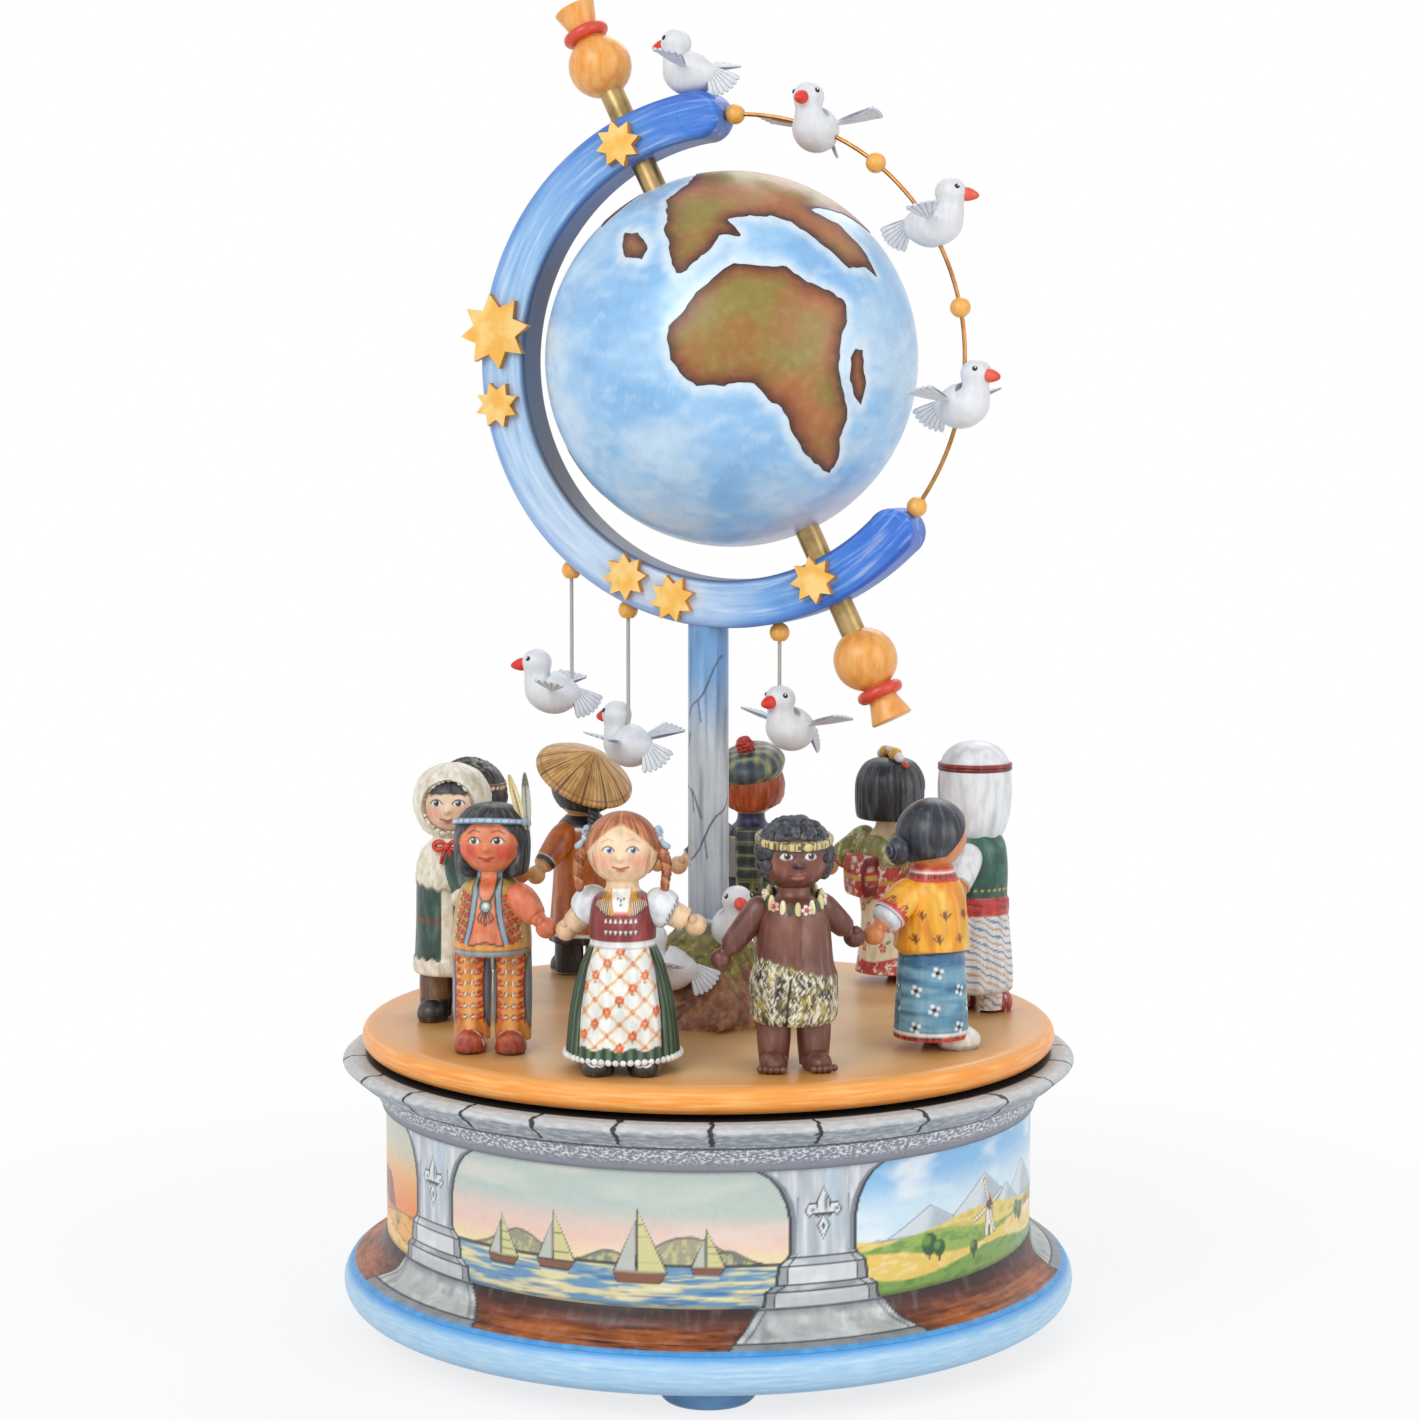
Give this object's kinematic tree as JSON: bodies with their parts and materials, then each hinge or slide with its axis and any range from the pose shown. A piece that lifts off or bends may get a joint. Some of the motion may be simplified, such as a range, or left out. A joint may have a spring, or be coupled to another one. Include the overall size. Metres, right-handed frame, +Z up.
{
  "type": "music box",
  "caption": "Wind-up wooden music box: painted drum with its key underneath, turntable with a ring of carved children, and a crescent that holds a globe on a tilted axle among doves.",
  "frame": {"origin": "centre of the three feet on the floor", "axes": "+Z up along the turntable's axis, -Y to the side that the picture shows"},
  "size_m": [0.21, 0.21, 0.3767],
  "materials": {
    "base_paint": "painted, satin",
    "foot_paint": "stained, satin",
    "drum_paint": "painted panels, satin",
    "stone_paint": "painted stone, matt",
    "screw_steel": "zinc plated",
    "bush_brass": "turned",
    "bed_brass": "milled",
    "comb_steel": "ground",
    "fan_steel": "pressed",
    "shaft_steel": "turned",
    "key_brass": "polished",
    "barrel_brass": "turned",
    "cylinder_brass": "turned",
    "disc_paint": "painted, satin",
    "mound_paint": "carved and painted",
    "pole_paint": "painted, satin",
    "crescent_paint": "painted, satin",
    "star_paint": "painted, satin",
    "globe_paint": "painted, satin",
    "axle_brass": "antique tube",
    "finial_paint": "painted, satin",
    "collar_paint": "painted, satin",
    "wire_copper": "drawn copper wire",
    "bead_paint": "painted, satin",
    "dove_paint": "painted, satin",
    "wing_wood": "shaved wood fans, painted",
    "apron_girl_paint": "hand painted, satin",
    "curly_boy_paint": "hand painted, satin",
    "blouse_girl_paint": "hand painted, satin",
    "headcloth_boy_paint": "hand painted, satin",
    "kimono_girl_paint": "hand painted, satin",
    "tam_boy_paint": "hand painted, satin",
    "straw_hat_child_paint": "hand painted, satin",
    "beaded_child_paint": "hand painted, satin",
    "hood_child_paint": "hand painted, satin",
    "feather_boy_paint": "hand painted, satin"
  },
  "bodies": {
    "base": {"base_plate": "base_paint", "feet": "foot_paint", "drum": "drum_paint", "cornice": "stone_paint", "screws": "screw_steel", "turntable_bush": "bush_brass", "movement_bedplate": "bed_brass", "comb": "comb_steel", "governor_case": "bed_brass"},
    "key": {"winding_arbor": "shaft_steel", "winding_key": "key_brass"},
    "cylinder": {"pinned_cylinder": "cylinder_brass"},
    "fan": {"governor_fan": "fan_steel"},
    "turntable": {"spring_barrel": "barrel_brass", "drive_shaft": "shaft_steel", "turntable_disc": "disc_paint", "root_mound": "mound_paint", "pole": "pole_paint", "meridian_arc": "crescent_paint", "arc_stars": "star_paint", "dove_wire": "wire_copper", "wire_beads": "bead_paint", "dove_bodies": "dove_paint", "dove_wings": "wing_wood", "apron_girl_body": "apron_girl_paint", "apron_girl_head": "apron_girl_paint", "apron_girl_arms": "apron_girl_paint", "curly_boy_body": "curly_boy_paint", "curly_boy_head": "curly_boy_paint", "curly_boy_arms": "curly_boy_paint", "blouse_girl_body": "blouse_girl_paint", "blouse_girl_head": "blouse_girl_paint", "blouse_girl_arms": "blouse_girl_paint", "headcloth_boy_body": "headcloth_boy_paint", "headcloth_boy_head": "headcloth_boy_paint", "headcloth_boy_arms": "headcloth_boy_paint", "kimono_girl_body": "kimono_girl_paint", "kimono_girl_head": "kimono_girl_paint", "kimono_girl_arms": "kimono_girl_paint", "tam_boy_body": "tam_boy_paint", "tam_boy_head": "tam_boy_paint", "tam_boy_arms": "tam_boy_paint", "straw_hat_child_body": "straw_hat_child_paint", "straw_hat_child_head": "straw_hat_child_paint", "straw_hat_child_arms": "straw_hat_child_paint", "beaded_child_body": "beaded_child_paint", "beaded_child_head": "beaded_child_paint", "hood_child_body": "hood_child_paint", "hood_child_head": "hood_child_paint", "hood_child_arms": "hood_child_paint", "feather_boy_body": "feather_boy_paint", "feather_boy_head": "feather_boy_paint", "feather_boy_arms": "feather_boy_paint"},
    "globe": {"globe": "globe_paint", "globe_axle": "axle_brass", "finials": "finial_paint", "finial_collars": "collar_paint"},
    "dove_left": {"hanging_dove_left": "dove_paint"},
    "dove_middle": {"hanging_dove_middle": "dove_paint"},
    "dove_right": {"hanging_dove_right": "dove_paint"}
  },
  "joints": [
    {"name": "key_turn", "type": "hinge", "parent": "base", "child": "key", "pos_m": [0, 0, 0.012], "axis": [0, 0, 1], "range_deg": [0, 1800]},
    {"name": "turntable_turn", "type": "hinge", "parent": "base", "child": "turntable", "pos_m": [0, 0, 0.08], "axis": [0, 0, 1], "continuous": true},
    {"name": "cylinder_spin", "type": "hinge", "parent": "base", "child": "cylinder", "pos_m": [0.04, 0, 0.04292], "axis": [1, 0, 0], "continuous": true},
    {"name": "fan_spin", "type": "hinge", "parent": "base", "child": "fan", "pos_m": [0.0715, 0, 0.05], "axis": [0, 0, 1], "continuous": true},
    {"name": "globe_spin", "type": "hinge", "parent": "turntable", "child": "globe", "pos_m": [0.00656, -0.0026, 0.27425], "axis": [-0.4032, 0.1596, 0.9011], "continuous": true},
    {"name": "dove_left_swing", "type": "hinge", "parent": "turntable", "child": "dove_left", "pos_m": [-0.03967, 0.01571, 0.21435], "axis": [0.9298, -0.3681, 0], "range_deg": [-6, 6]},
    {"name": "dove_middle_swing", "type": "hinge", "parent": "turntable", "child": "dove_middle", "pos_m": [-0.02311, 0.00915, 0.20324], "axis": [0.9298, -0.3681, 0], "range_deg": [-6, 6]},
    {"name": "dove_right_swing", "type": "hinge", "parent": "turntable", "child": "dove_right", "pos_m": [0.02013, -0.00797, 0.19778], "axis": [0.9298, -0.3681, 0], "range_deg": [-6, 6]}
  ],
  "couplings": [
    {"joint": "cylinder_spin", "follows": "turntable_turn", "ratio": 4},
    {"joint": "fan_spin", "follows": "turntable_turn", "ratio": 40}
  ]
}
